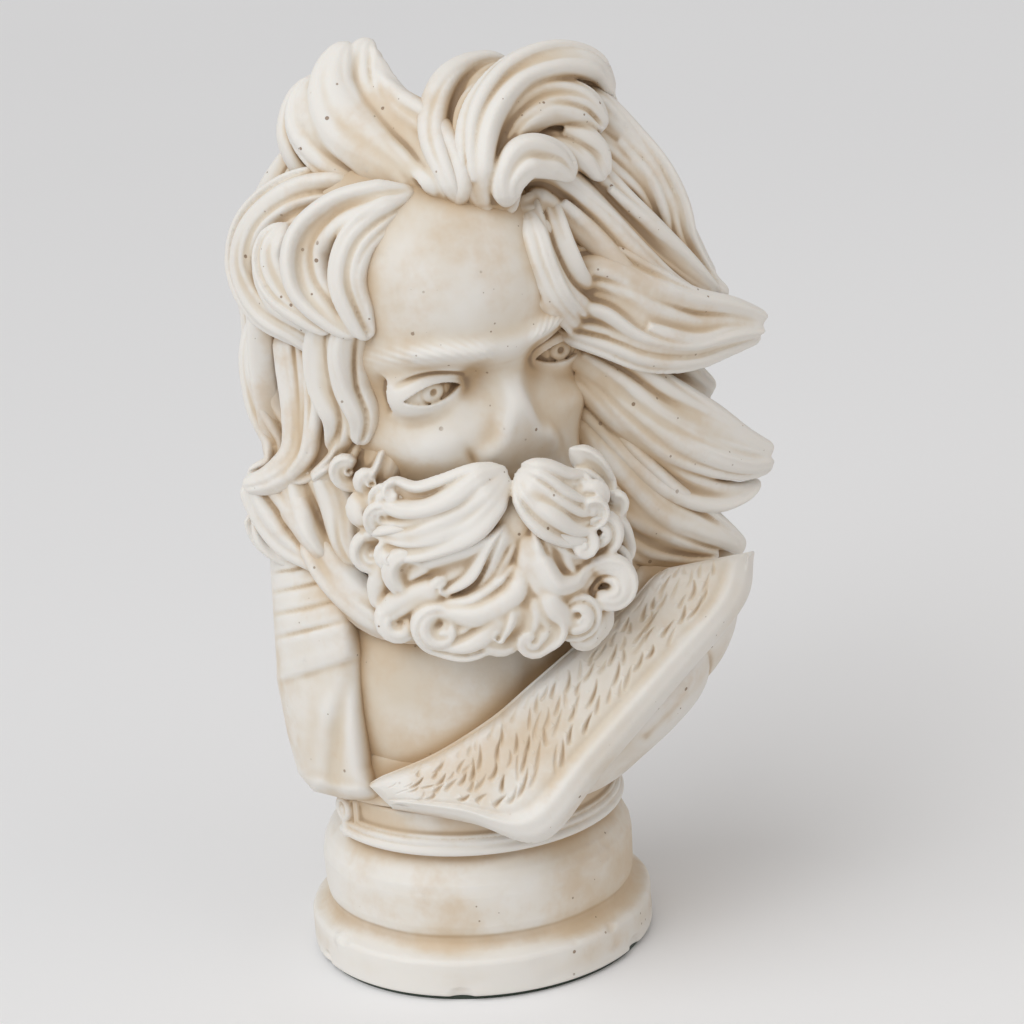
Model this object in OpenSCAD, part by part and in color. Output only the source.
// A marble bust of a bearded man with windblown hair, on a turned socle.
// Millimetres. +Z is up, the bust looks along -Y, and the origin is the centre of the
// underside that rests on the table.

/* [Socle] */
// Radius of the foot disc
foot_r = 78; // [76:1:80]
// Height of the foot disc's upright rim, felt included
foot_h = 20; // [19:1:22]
// Radius of the drum above the foot
drum_r = 70.5; // [69:0.5:72]
// Height of the socle's top, where the tablet stands
socle_h = 64; // [63:1:65]

/* [Scroll tablet] */
// Radius of the tablet's plain core
core_r = 61; // [60:0.5:62]
// Radius of the tablet's face
tablet_r = 66; // [65:0.5:67]
// Height of the tablet
tablet_h = 20; // [19:1:21]
// Half of the angle that the tablet covers
tablet_half = 92; // [85:1:100]

/* [Fixings] */
// Radius of the mounting rod
rod_r = 5; // [4:0.5:6]
// Length of the mounting rod
rod_l = 130; // [120:5:140]
// Radius of the recess for the nut under the socle
recess_r = 18; // [16:1:20]
// Depth of that recess above the felt
recess_h = 22; // [20:1:24]
// Radius of the dowel in the neck
dowel_r = 6; // [5:0.5:7]
// Thickness of the felt pad
felt_t = 2; // [1.5:0.5:3]

/* [Head] */
// Height of the eye line
head_z = 290; // [288:1:292]
// How far the face looks down, in degrees
head_pitch = 8; // [6:1:10]
// How far the head leans to its right, in degrees
head_roll = 7; // [5:1:9]

/* [Hidden] */
$fn = 48;
gap = 0.02;
marble = [0.90, 0.87, 0.81];
steel = [0.72, 0.73, 0.75];

// The locks, the beard and the cloak's edges are drawn on an upright board, as seen by an
// eye that looks at the bust from its right front. A drawn point is [x, z, y]: x and z are
// read on the board, and the point then slides along the line of sight to depth y.
board_y = -40;
eye = [26, -1243, 579];
board_turn = 28;
head_at = [-8, 2, head_z];
// The cloak's hem hangs a little over the top of the tablet.
hem_z = socle_h + tablet_h - 6;

function turned(p) = [
    p.x * cos(board_turn) + p.y * sin(board_turn),
    -p.x * sin(board_turn) + p.y * cos(board_turn),
    p.z
];
function at(x, z, y) = let (k = (y - eye.y) / (board_y - eye.y))
    turned([eye.x + (x - eye.x) * k, y, eye.z + (z - eye.z) * k]);
function unit(v) = v / max(norm(v), 1e-6);

// Locks: each row is [x, z, y, half width, half thickness] on the board.
crown_right = [
    [[8, 340, -66, 7, 5], [9, 358, -68, 10, 6], [0, 374, -54, 12, 7], [-14, 385, -42, 12, 7],
        [-22, 398, -32, 10, 6], [-21, 412, -24, 6, 4], [-17, 417, -20, 2, 2]],
    [[-6, 342, -62, 7, 5], [-8, 356, -60, 9, 6], [-20, 370, -50, 10, 6], [-31, 384, -40, 11, 6],
        [-35, 398, -32, 9, 6], [-32, 410, -26, 6, 4], [-27, 417, -22, 2, 2]],
    [[-16, 344, -56, 6, 5], [-24, 358, -50, 8, 5], [-38, 370, -40, 9, 6], [-46, 384, -32, 9, 6],
        [-46, 396, -26, 6, 5], [-40, 404, -22, 2, 2]],
    [[14, 344, -66, 5, 4], [15, 360, -66, 6, 4], [6, 376, -54, 6, 5], [-6, 384, -44, 6, 5],
        [-13, 396, -36, 5, 4], [-16, 410, -28, 2, 2]],
    [[-34, 356, -30, 8, 6], [-44, 366, -22, 9, 6], [-50, 380, -16, 9, 6], [-47, 394, -12, 7, 5],
        [-38, 404, -12, 3, 3]]
];
crown_left = [
    [[18, 342, -70, 6, 5], [14, 360, -68, 9, 6], [12, 378, -56, 12, 7], [18, 394, -42, 12, 7],
        [30, 402, -28, 8, 5], [40, 402, -18, 2, 2]],
    [[24, 342, -72, 5, 5], [21, 362, -70, 7, 6], [25, 382, -60, 8, 7], [38, 397, -46, 8, 7],
        [56, 403, -34, 8, 6], [72, 400, -24, 6, 5], [80, 388, -18, 2, 2]],
    [[30, 342, -70, 5, 5], [29, 360, -66, 7, 6], [35, 376, -56, 8, 7], [50, 386, -46, 9, 7],
        [66, 384, -38, 8, 6], [76, 374, -32, 3, 3]],
    [[34, 342, -70, 4, 4], [34, 354, -72, 6, 5], [42, 364, -68, 8, 6], [54, 362, -62, 7, 5],
        [62, 354, -56, 3, 3]],
    [[40, 372, -50, 6, 5], [56, 372, -46, 8, 6], [68, 364, -42, 8, 6], [74, 352, -40, 3, 3]]
];
temple = [
    [[-14, 350, -56, 6, 5], [-34, 358, -48, 7, 6], [-56, 356, -38, 8, 6], [-73, 344, -28, 8, 6],
        [-79, 326, -24, 7, 6], [-72, 308, -30, 7, 6], [-56, 296, -42, 6, 6],
        [-42, 284, -50, 5, 5], [-34, 268, -54, 4, 4], [-32, 254, -56, 2, 2]],
    [[-18, 342, -58, 5, 5], [-38, 348, -50, 6, 5], [-58, 344, -42, 6, 5], [-68, 330, -36, 6, 5],
        [-66, 314, -38, 6, 5], [-52, 303, -46, 6, 5], [-38, 293, -54, 4, 4], [-31, 280, -56, 2, 2]],
    [[-24, 334, -58, 5, 5], [-40, 337, -52, 6, 5], [-51, 327, -48, 6, 5], [-47, 313, -50, 5, 5],
        [-35, 306, -56, 3, 3]]
];
side_right = [
    [[-66, 312, -22, 6, 6], [-75, 292, -18, 8, 7], [-74, 268, -18, 9, 7], [-68, 250, -22, 9, 7],
        [-73, 238, -26, 7, 6], [-86, 236, -28, 3, 3]],
    [[-62, 306, -30, 7, 6], [-61, 284, -32, 8, 6], [-60, 262, -34, 8, 6], [-62, 244, -36, 8, 6],
        [-74, 234, -34, 6, 5], [-88, 231, -28, 3, 3]],
    [[-52, 298, -38, 6, 6], [-50, 280, -42, 7, 6], [-50, 260, -44, 8, 6], [-55, 242, -44, 7, 5],
        [-68, 232, -40, 3, 3]],
    [[-44, 290, -44, 5, 5], [-38, 272, -50, 6, 5], [-37, 256, -52, 7, 5], [-44, 240, -50, 6, 5],
        [-58, 231, -46, 3, 3]]
];
nape_right = [
    [[-82, 232, -20, 6, 6], [-76, 217, -22, 8, 7], [-66, 207, -26, 8, 7], [-57, 198, -32, 6, 6],
        [-53, 188, -38, 4, 4]],
    [[-66, 232, -30, 7, 6], [-62, 216, -34, 8, 6], [-54, 206, -38, 7, 6], [-49, 195, -42, 5, 5],
        [-49, 186, -44, 3, 3]],
    [[-50, 236, -40, 6, 6], [-46, 220, -44, 8, 6], [-44, 204, -44, 8, 6], [-40, 190, -44, 6, 5]]
];
collar = [
    [[-54, 200, -42, 5, 6], [-46, 184, -44, 6, 7], [-34, 172, -46, 6, 7], [-18, 166, -48, 6, 7],
        [0, 166, -50, 5, 6]],
    [[-56, 190, -38, 5, 6], [-46, 174, -42, 6, 7], [-32, 162, -46, 6, 7], [-14, 158, -48, 5, 6],
        [2, 160, -48, 4, 5]]
];
wind_upper = [
    [[52, 388, -26, 8, 7], [69, 382, -22, 9, 8], [84, 365, -18, 9, 8], [94, 352, -16, 8, 8],
        [100, 338, -14, 8, 7], [104, 322, -12, 7, 7], [114, 306, -10, 5, 5], [123, 299, -8, 3, 3]],
    [[60, 378, -32, 8, 7], [76, 364, -24, 9, 7], [90, 350, -18, 9, 7], [99, 334, -12, 8, 7],
        [107, 318, -8, 7, 6], [116, 306, -4, 4, 4]],
    [[52, 364, -44, 7, 7], [66, 352, -38, 8, 7], [82, 337, -32, 8, 7], [95, 322, -26, 8, 6],
        [108, 309, -18, 6, 5], [118, 300, -12, 3, 3]],
    [[42, 350, -54, 6, 6], [56, 342, -52, 7, 6], [70, 328, -46, 8, 6], [84, 315, -40, 8, 6],
        [98, 305, -32, 6, 5], [112, 298, -24, 3, 3]]
];
wind_middle = [
    [[42, 316, -48, 5, 6], [70, 317, -46, 8, 7], [88, 306, -40, 9, 7], [106, 297, -30, 7, 6],
        [124, 293, -18, 5, 5], [138, 288, -8, 3, 4]],
    [[42, 306, -50, 5, 6], [70, 302, -48, 8, 7], [88, 291, -44, 9, 7], [106, 285, -34, 7, 6],
        [122, 286, -22, 5, 5], [137, 285, -10, 3, 4]],
    [[44, 294, -48, 5, 6], [70, 285, -48, 7, 6], [88, 277, -44, 7, 6], [106, 275, -34, 6, 5],
        [122, 279, -22, 5, 5], [136, 282, -10, 3, 3]]
];
wind_lower = [
    [[42, 290, -40, 6, 6], [58, 282, -40, 8, 7], [76, 270, -40, 9, 7], [93, 256, -34, 10, 7],
        [112, 245, -24, 8, 6], [127, 236, -14, 5, 5], [139, 230, -6, 3, 3]],
    [[44, 280, -38, 7, 6], [60, 270, -38, 8, 7], [78, 252, -38, 9, 7], [95, 238, -32, 9, 7],
        [112, 229, -24, 7, 6], [128, 224, -14, 5, 5], [139, 225, -6, 3, 3]],
    [[50, 266, -36, 7, 6], [64, 254, -36, 7, 6], [80, 234, -34, 8, 7], [96, 220, -28, 8, 7],
        [112, 213, -20, 7, 6], [125, 213, -12, 4, 4], [133, 218, -6, 2, 2]],
    [[60, 286, -26, 8, 6], [80, 278, -22, 10, 6], [98, 268, -16, 9, 6], [114, 257, -10, 5, 5]]
];
wind_nape = [
    [[46, 262, -36, 7, 6], [60, 250, -36, 8, 6], [74, 230, -36, 10, 7], [90, 212, -30, 10, 7],
        [106, 201, -22, 8, 6], [118, 193, -14, 5, 5], [125, 187, -10, 3, 3]],
    [[46, 246, -34, 7, 6], [58, 232, -34, 8, 6], [68, 210, -36, 10, 7], [82, 195, -30, 10, 7],
        [98, 188, -24, 7, 6], [114, 185, -18, 3, 3]],
    [[48, 226, -34, 7, 6], [60, 198, -36, 9, 7], [72, 184, -32, 8, 7], [86, 178, -28, 4, 4]]
];
moustache_locks = [
    [[32, 226, -90, 4, 4], [22, 226, -92, 6, 7], [8, 219, -88, 8, 8], [-8, 210, -81, 7, 7],
        [-22, 207, -72, 6, 6], [-34, 212, -64, 3, 3]],
    [[28, 226, -90, 4, 4], [38, 226, -88, 6, 7], [50, 220, -78, 7, 7], [60, 218, -66, 6, 6],
        [68, 224, -54, 3, 3]]
];
beard_locks = [
    [[-28, 246, -62, 6, 5], [-30, 234, -65, 6, 6], [-36, 222, -65, 7, 6], [-38, 208, -62, 5, 5]],
    [[-20, 226, -66, 6, 6], [-30, 216, -68, 7, 7], [-40, 206, -64, 6, 6], [-42, 196, -60, 3, 4]],
    [[-8, 216, -76, 7, 7], [-22, 204, -76, 8, 7], [-36, 196, -70, 7, 7], [-40, 184, -66, 3, 4]],
    [[4, 206, -82, 8, 7], [-8, 192, -84, 9, 8], [-24, 184, -78, 8, 7], [-32, 172, -72, 4, 4]],
    [[16, 200, -86, 8, 7], [10, 184, -90, 9, 8], [-4, 172, -90, 8, 8], [-12, 158, -86, 5, 5]],
    [[26, 200, -86, 8, 7], [24, 182, -92, 9, 8], [14, 168, -94, 9, 8], [4, 156, -90, 5, 6]],
    [[34, 202, -84, 8, 7], [38, 184, -90, 9, 8], [34, 170, -92, 9, 8], [24, 162, -90, 6, 6]],
    [[42, 206, -80, 8, 7], [50, 192, -84, 9, 8], [50, 176, -84, 9, 8], [42, 166, -82, 6, 6]],
    [[50, 212, -74, 7, 7], [60, 200, -76, 8, 8], [66, 186, -74, 8, 8], [62, 172, -72, 7, 6]],
    [[54, 226, -68, 6, 6], [64, 214, -68, 7, 7], [72, 200, -64, 7, 7], [76, 184, -60, 4, 5]],
    [[50, 244, -62, 6, 6], [58, 232, -63, 7, 6], [66, 220, -60, 7, 6], [72, 208, -58, 5, 5]]
];
// Locks of the back, in the bust's own frame: [x, y, z, half width, half thickness].
back_locks = [
    for (a = [-18:21:172]) let (c = cos(a), s = sin(a), w = 11 + 3 * s) [
        [-8 + 14 * c, 6 + 12 * s, 376, w * 0.6, 5],
        [-8 + 46 * c, 4 + 48 * s, 354, w, 8],
        [-7 + 64 * c, 2 + 70 * s, 318, w, 8],
        [-6 + 68 * c, 2 + 77 * s, 282, w, 8],
        [-4 + 64 * c, 4 + 73 * s, 246, w, 8],
        [-2 + 62 * c, 6 + 71 * s, 214, w * 0.6, 6],
        [0 + 62 * c, 8 + 72 * s, 192, 3, 3]
    ]
];
// The cloak's outline at each height: [z, centre x, centre y, half width, half depth],
// turned like the board.
cloak_rings = [
    [hem_z, 1, 2, 69.5, 64], [hem_z + 4, 2, 3, 74, 66], [88, 4, 4, 80, 67], [101, 11, 6, 90, 69],
    [118, 19, 8, 98.5, 70], [143, 24, 10, 104, 70], [160, 26, 12, 105, 68], [176, 25, 14, 102, 62],
    [190, 18, 17, 90, 54], [204, 8, 20, 68, 44], [215, 2, 24, 44, 34]
];
torso_rings = [
    [socle_h + tablet_h, 0, 0, 56, 52], [112, 3, -2, 68, 58], [150, 8, 0, 76, 58], [184, 4, 8, 66, 50]
];
neck_rings = [[176, 0, 2, 52, 48], [214, -2, 0, 45, 46], [240, -4, 0, 44, 46]];
opening = [[-45, 210], [-45, 106], [-24, 104], [0, 108], [20, 122], [46, 146], [72, 168], [84, 200]];
lapel_inner = [[-48, 92, -64], [-15, 103, -68], [10, 117, -69], [30, 133, -69], [50, 149, -66],
    [72, 165, -58], [88, 182, -46]];
lapel_outer = [[-34, 83, -72], [-4, 72, -86], [27, 62, -95], [56, 93, -88], [90, 130, -74],
    [120, 164, -50], [126, 187, -30]];
panel = [[-79, 202, -34], [-80, 145, -36], [-78, 114, -42], [-75, 96, -46], [-66, 86, -54],
    [-46, 90, -62], [-45, 150, -62], [-46, 198, -50]];

// Catmull-Rom curve through the rows of a lock.
function spline(p, i, t) = let (
        n = len(p) - 1, a = p[max(i - 1, 0)], b = p[i], c = p[min(i + 1, n)], d = p[min(i + 2, n)]
    ) 0.5 * (2 * b + (c - a) * t + (2 * a - 5 * b + 4 * c - d) * t * t
        + (3 * b - a - 3 * c + d) * t * t * t);
function finer(p, steps) = [
    for (i = [0:len(p) - 2], k = [0:steps - 1]) spline(p, i, k / steps), p[len(p) - 1]
];
function drawn(rows) = [for (r = rows) concat(at(r[0], r[1], r[2]), [r[3], r[4]])];
// The same locks again, further back along the line of sight.
function behind(list, d) = [for (l = list) [for (r = l) [r[0], r[1], r[2] + d, r[3], r[4]]]];

// The way a lock's flat side faces: out from the head, and partly towards the eye.
sight = unit(turned([0, -1, 0.3]));
function facing(p, towards_eye) = unit(unit(p - head_at) * (1 - towards_eye) + sight * towards_eye);

SIDES = 8;
function ring(p, tangent, towards_eye) = let (
        centre = [p[0], p[1], p[2]],
        side = unit(cross(facing(centre, towards_eye), tangent)),
        up = unit(cross(tangent, side))
    ) [for (k = [0:SIDES - 1]) let (a = (k + 0.5) * 360 / SIDES)
        centre + 1.08 * side * p[3] * cos(a) + 1.08 * up * p[4] * sin(a)];

// The solid between two rings: the hull of their corners.
module bridge(a, b) {
    n = len(a);
    hull() polyhedron(concat(a, b), [[for (i = [0:2 * n - 1]) i]]);
}
module lock(rows, towards_eye = 0.75, steps = 2) {
    p = finer(rows, steps);
    n = len(p) - 1;
    rings = [for (i = [0:n]) let (d = p[min(i + 1, n)] - p[max(i - 1, 0)])
        ring(p[i], unit([d[0], d[1], d[2]]), towards_eye)];
    for (i = [0:n - 1]) bridge(rings[i], rings[i + 1]);
}
module drawn_locks(list, towards_eye = 0.75, steps = 2) {
    for (l = list) lock(drawn(l), towards_eye, steps);
}
function ellipse_ring(r, n) = [for (k = [0:n - 1]) let (a = k * 360 / n)
    [r[1] + r[3] * cos(a), r[2] + r[4] * sin(a), r[0]]];
function turned_ring(r, n) = [for (p = ellipse_ring(r, n)) turned(p)];
module loft(rings, n = 28) {
    for (i = [0:len(rings) - 2]) bridge(ellipse_ring(rings[i], n), ellipse_ring(rings[i + 1], n));
}
module turned_loft(rings, n = 28) {
    for (i = [0:len(rings) - 2]) bridge(turned_ring(rings[i], n), turned_ring(rings[i + 1], n));
}
module head_pose() {
    translate(head_at) rotate([head_pitch, 0, 0]) rotate([0, -head_roll, 0]) children();
}

module felt_pad() {
    color([0.25, 0.28, 0.25]) cylinder(r = foot_r - 3, h = felt_t);
}
module socle_solid() {
    rotate_extrude() polygon([
        [0, felt_t], [foot_r - 1.5, felt_t], [foot_r, felt_t + 1.5], [foot_r, foot_h - 1.5],
        [foot_r - 1.5, foot_h], [drum_r + 3, foot_h + 5], [drum_r + 1, foot_h + 9],
        [drum_r - 0.5, foot_h + 11], [drum_r, foot_h + 15], [drum_r, foot_h + 32],
        [drum_r - 2, foot_h + 36], [drum_r - 6, foot_h + 39], [core_r + 1, foot_h + 42],
        [core_r + 1, socle_h], [0, socle_h]
    ]);
}
module socle() {
    color(marble) difference() {
        socle_solid();
        translate([0, 0, felt_t - 1]) cylinder(r = recess_r, h = recess_h + 1);
        cylinder(r = rod_r + 0.5, h = socle_h + 1);
    }
}
module mounting_rod() {
    color(steel) translate([0, 0, felt_t + 3]) cylinder(r = rod_r, h = rod_l);
}
module rod_washer() {
    color(steel) translate([0, 0, felt_t + recess_h - 2.5]) difference() {
        cylinder(r = 15, h = 2.5 - gap);
        translate([0, 0, -1]) cylinder(r = rod_r + 0.5, h = 5);
    }
}
module rod_nut() {
    color(steel) translate([0, 0, felt_t + recess_h - 2.5 - 8]) difference() {
        cylinder(r = 9.8, h = 8 - gap, $fn = 6);
        translate([0, 0, -1]) cylinder(r = rod_r + gap, h = 10);
    }
}
module tablet_fillet(z, h, out) {
    rotate([0, 0, 270 - tablet_half]) rotate_extrude(angle = 2 * tablet_half)
        translate([core_r - 2, z]) square([tablet_r - core_r + 2 + out, h]);
}
module end_bar(side) {
    rotate([0, 0, 270 + side * (tablet_half - 6) - 1.5]) rotate_extrude(angle = 3)
        translate([core_r - 1, socle_h + 2]) square([tablet_r - core_r + 2.4, tablet_h - 4]);
}
module volute(side) {
    rotate([0, 0, 270 + side * tablet_half]) translate([tablet_r - 2, 0, socle_h - 7])
        cylinder(r = 5.5, h = tablet_h + 1);
}
module scroll_tablet() {
    color(marble) difference() {
        union() {
            translate([0, 0, socle_h + gap]) cylinder(r = core_r, h = tablet_h - 2 * gap);
            tablet_fillet(socle_h + 0.5, tablet_h - 1, 0);
            tablet_fillet(socle_h + 1, 3.5, 3);
            tablet_fillet(socle_h + 5, 3, 2);
            for (side = [-1, 1]) {
                volute(side);
                end_bar(side);
            }
        }
        cylinder(r = rod_r + 0.5, h = 100);
        socle_solid();
    }
}
module torso_solid() {
    loft(torso_rings);
    loft(neck_rings);
}
module torso() {
    color(marble) difference() {
        torso_solid();
        cylinder(r = rod_r + gap, h = felt_t + 3 + rod_l + 1);
        translate([-4, 0, 216]) cylinder(r = dowel_r + gap, h = 60);
    }
}
module neck_dowel() {
    color(steel) translate([-4, 0, 217]) cylinder(r = dowel_r, h = 50);
}
module skull() {
    hull() {
        translate([0, 14, 26]) sphere(r = 62, $fn = 22);
        translate([0, -16, 24]) sphere(r = 58, $fn = 22);
        translate([0, -34, -8]) sphere(r = 46, $fn = 20);
    }
}
module jaw() {
    hull() {
        translate([0, -30, -10]) sphere(r = 48, $fn = 18);
        translate([0, -52, -72]) sphere(r = 20, $fn = 16);
        for (s = [-1, 1]) translate([s * 38, -8, -52]) sphere(r = 14, $fn = 12);
    }
}
module nose() {
    hull() {
        translate([0, -74, 6]) sphere(r = 7, $fn = 12);
        translate([0, -93, -30]) sphere(r = 8, $fn = 12);
        for (s = [-1, 1]) translate([s * 10, -82, -34]) sphere(r = 6, $fn = 10);
    }
}
module head_solid() {
    head_pose() {
        skull();
        jaw();
        nose();
        hull() for (s = [-1, 1]) translate([s * 26, -66, 14]) sphere(r = 13, $fn = 12);
    }
}
module head() {
    color(marble) difference() {
        head_solid();
        torso_solid();
        translate([-4, 0, 210]) cylinder(r = dowel_r + gap, h = 58);
    }
}
// Removes what is already taken up by the head and the torso.
module fitted() {
    difference() {
        children();
        head_solid();
        torso_solid();
    }
}
module moustache() {
    color(marble) fitted() drawn_locks(moustache_locks);
}
module beard_mass() {
    hull() for (p = [[8, 206, -62], [34, 208, -62], [-12, 196, -54], [56, 196, -52], [12, 174, -72],
        [40, 178, -70]]) translate(at(p[0], p[1], p[2])) sphere(r = 16.5, $fn = 14);
}
module beard() {
    color(marble) fitted() {
        beard_mass();
        drawn_locks(beard_locks, 0.6);
    }
}
module prism(outline, near, far) {
    for (i = [1:len(outline) - 2]) hull() polyhedron(
        concat([for (k = [0, i, i + 1], y = [near, far]) at(outline[k][0], outline[k][1], y)]),
        [[0, 1, 2, 3, 4, 5]]);
}
module slab(a, b, thick) {
    for (i = [0:len(a) - 2]) bridge(
        [for (p = [a[i], a[i + 1], b[i + 1], b[i]]) at(p[0], p[1], p[2])],
        [for (p = [a[i], a[i + 1], b[i + 1], b[i]]) at(p[0] + 2, p[1] - 3, p[2] + thick)]);
}
module lapel_solid() {
    slab(lapel_inner, lapel_outer, 15);
}
module panel_solid() {
    for (i = [1:len(panel) - 2]) hull() polyhedron(
        [for (k = [0, i, i + 1], d = [0, 24]) at(panel[k][0], panel[k][1], panel[k][2] + d)],
        [[0, 1, 2, 3, 4, 5]]);
}
module cloak() {
    color(marble) fitted() difference() {
        turned_loft(cloak_rings);
        prism(opening, -140, -34);
        cylinder(r = tablet_r + 0.2, h = socle_h + tablet_h);
        lapel_solid();
        panel_solid();
    }
}
module cloak_right_panel() {
    color(marble) fitted() difference() {
        panel_solid();
        cylinder(r = tablet_r + 0.2, h = socle_h + tablet_h);
    }
}
module fur_lapel() {
    color(marble) fitted() lapel_solid();
}
module hair_base() {
    head_pose() hull() {
        translate([0, 18, 22]) sphere(r = 70, $fn = 20);
        translate([0, 20, -36]) sphere(r = 60, $fn = 18);
    }
}
module collar_roll() {
    color(marble) fitted() drawn_locks(collar);
}
module crown_lock_right() {
    color(marble) fitted() {
        drawn_locks(crown_right);
        drawn_locks(behind(crown_right, 8), 0.75, 1);
    }
}
module crown_lock_left() {
    color(marble) fitted() {
        drawn_locks(crown_left);
        drawn_locks(behind(crown_left, 9), 0.75, 1);
    }
}
module temple_loop() {
    color(marble) fitted() drawn_locks(temple);
}
module side_locks_right() {
    color(marble) fitted() drawn_locks(side_right);
}
module nape_locks_right() {
    color(marble) fitted() drawn_locks(nape_right);
}
module windblown_locks_upper() {
    color(marble) fitted() {
        drawn_locks(wind_upper);
        drawn_locks(behind(wind_upper, 12), 0.75, 1);
    }
}
module windblown_locks_middle() {
    color(marble) fitted() {
        drawn_locks(wind_middle);
        drawn_locks(behind(wind_middle, 12), 0.75, 1);
    }
}
module windblown_locks_lower() {
    color(marble) fitted() {
        drawn_locks(wind_lower);
        drawn_locks(behind(wind_lower, 12), 0.75, 1);
    }
}
module windblown_locks_nape() {
    color(marble) fitted() {
        drawn_locks(wind_nape);
        drawn_locks(behind(wind_nape, 7), 0.75, 1);
    }
}
module back_hair() {
    color(marble) fitted() {
        hair_base();
        for (l = back_locks) lock(l, 0, 1);
    }
}

felt_pad();
socle();
mounting_rod();
rod_washer();
rod_nut();
scroll_tablet();
torso();
neck_dowel();
head();
moustache();
beard();
cloak();
cloak_right_panel();
fur_lapel();
collar_roll();
crown_lock_right();
crown_lock_left();
temple_loop();
side_locks_right();
nape_locks_right();
windblown_locks_upper();
windblown_locks_middle();
windblown_locks_lower();
windblown_locks_nape();
back_hair();
